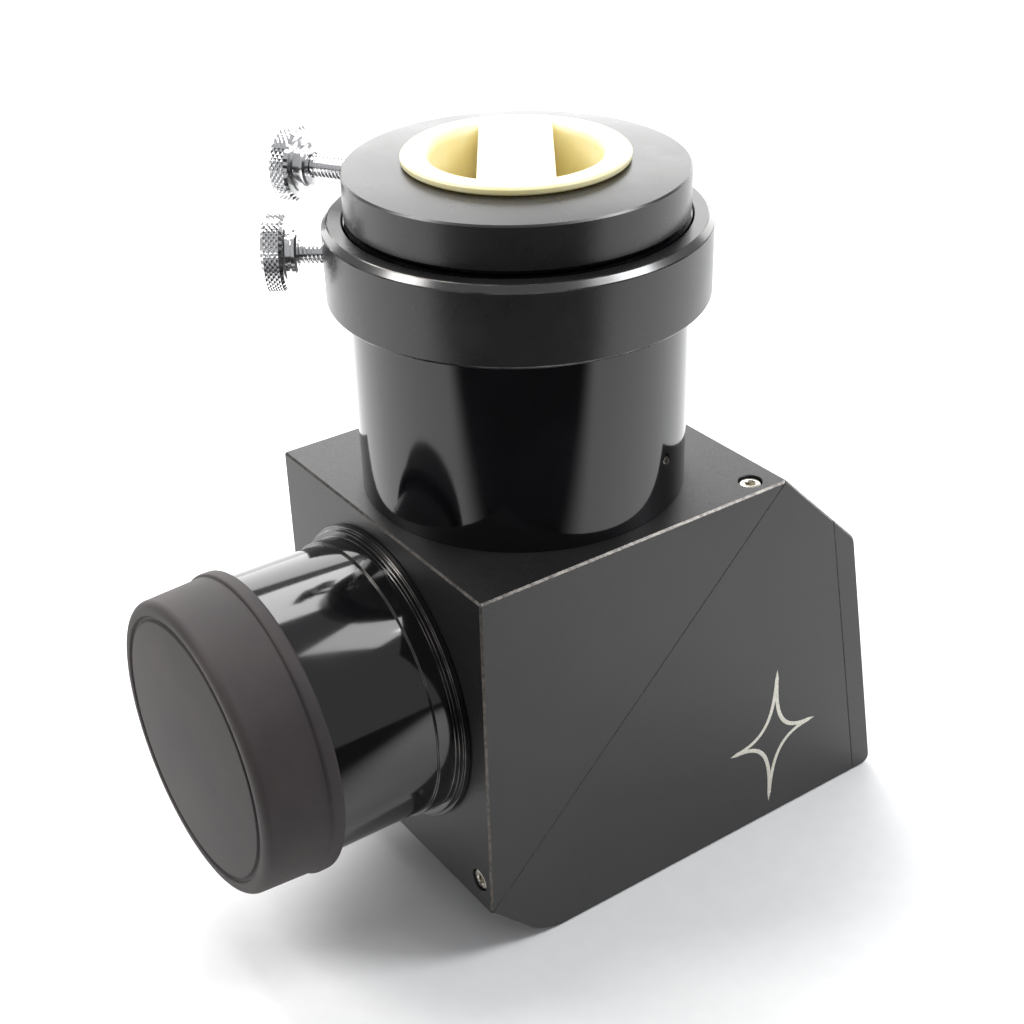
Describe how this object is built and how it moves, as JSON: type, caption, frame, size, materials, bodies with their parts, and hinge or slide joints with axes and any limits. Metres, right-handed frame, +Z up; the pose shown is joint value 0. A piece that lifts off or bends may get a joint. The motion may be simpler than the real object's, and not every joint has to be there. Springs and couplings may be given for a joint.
{
  "type": "star diagonal",
  "caption": "Right-angle mirror diagonal for a telescope: cast block housing, barrel nosepiece, clamped eyepiece tube with stepped-down adapter, thumbscrews and dust covers.",
  "frame": {"origin": "on the rest face, straight under the eyepiece axis", "axes": "+Z up along the eyepiece axis; the nosepiece points along -Y, so light comes in along +Y and leaves along +Z; the thumbscrews are on the -X side"},
  "size_m": [0.0722, 0.1326, 0.1355],
  "materials": {
    "satin_black_anodised": "fine bead-blasted, black anodised",
    "gloss_black_anodised": "turned, polished and gloss black anodised",
    "screw_steel": "bright stainless",
    "mirror_coating": "front-surface aluminium coating on ground glass",
    "pad_silicone": "matte",
    "ring_brass": "turned",
    "thumbscrew_chrome": "polished plate",
    "plug_plastic": "moulded, soft sheen",
    "cap_rubber": "moulded, matte"
  },
  "bodies": {
    "body": {"front_housing": "satin_black_anodised", "rear_housing": "satin_black_anodised", "back_plate": "satin_black_anodised", "housing_screw_top_left": "screw_steel", "housing_screw_top_right": "screw_steel", "housing_screw_front_left": "screw_steel", "housing_screw_front_right": "screw_steel", "back_plate_screw_high_left": "screw_steel", "back_plate_screw_high_right": "screw_steel", "back_plate_screw_low_left": "screw_steel", "back_plate_screw_low_right": "screw_steel", "mirror": "mirror_coating", "mirror_pad_1": "pad_silicone", "mirror_pad_2": "pad_silicone", "mirror_pad_3": "pad_silicone", "nosepiece_barrel": "gloss_black_anodised", "eyepiece_tube": "gloss_black_anodised", "clamp_collar": "satin_black_anodised", "compression_ring_2in": "ring_brass"},
    "eyepiece_adapter": {"adapter": "satin_black_anodised", "compression_ring_125": "ring_brass"},
    "plug": {"dust_plug": "plug_plastic"},
    "cap": {"dust_cap": "cap_rubber"},
    "collar_stud": {"collar_screw_stud": "thumbscrew_chrome"},
    "collar_knob": {"collar_screw_knob": "thumbscrew_chrome"},
    "adapter_stud": {"adapter_screw_stud": "thumbscrew_chrome"},
    "adapter_knob": {"adapter_screw_knob": "thumbscrew_chrome"}
  },
  "joints": [
    {"name": "adapter_lift", "type": "slide", "parent": "body", "child": "eyepiece_adapter", "axis": [0, 0, 1], "range_m": [0, 0.04]},
    {"name": "plug_lift", "type": "slide", "parent": "eyepiece_adapter", "child": "plug", "axis": [0, 0, 1], "range_m": [0, 0.03]},
    {"name": "cap_pull", "type": "slide", "parent": "body", "child": "cap", "axis": [0, -1, 0], "range_m": [0, 0.02]},
    {"name": "collar_screw_travel", "type": "slide", "parent": "body", "child": "collar_stud", "axis": [0.5878, 0.809, 0], "range_m": [-0.0035, 0.0007]},
    {"name": "collar_screw_turn", "type": "hinge", "parent": "collar_stud", "child": "collar_knob", "pos_m": [-0.01763, -0.02427, 0.1184], "axis": [0.5878, 0.809, 0], "range_deg": [-1800, 360]},
    {"name": "adapter_screw_travel", "type": "slide", "parent": "eyepiece_adapter", "child": "adapter_stud", "axis": [0.848, 0.5299, 0], "range_m": [-0.0035, 0.0007]},
    {"name": "adapter_screw_turn", "type": "hinge", "parent": "adapter_stud", "child": "adapter_knob", "pos_m": [-0.02544, -0.0159, 0.1287], "axis": [0.848, 0.5299, 0], "range_deg": [-1800, 360]}
  ],
  "couplings": [
    {"joint": "collar_screw_travel", "follows": "collar_screw_turn", "m_per_rad": 0.00011141},
    {"joint": "adapter_screw_travel", "follows": "adapter_screw_turn", "m_per_rad": 0.00011141}
  ]
}
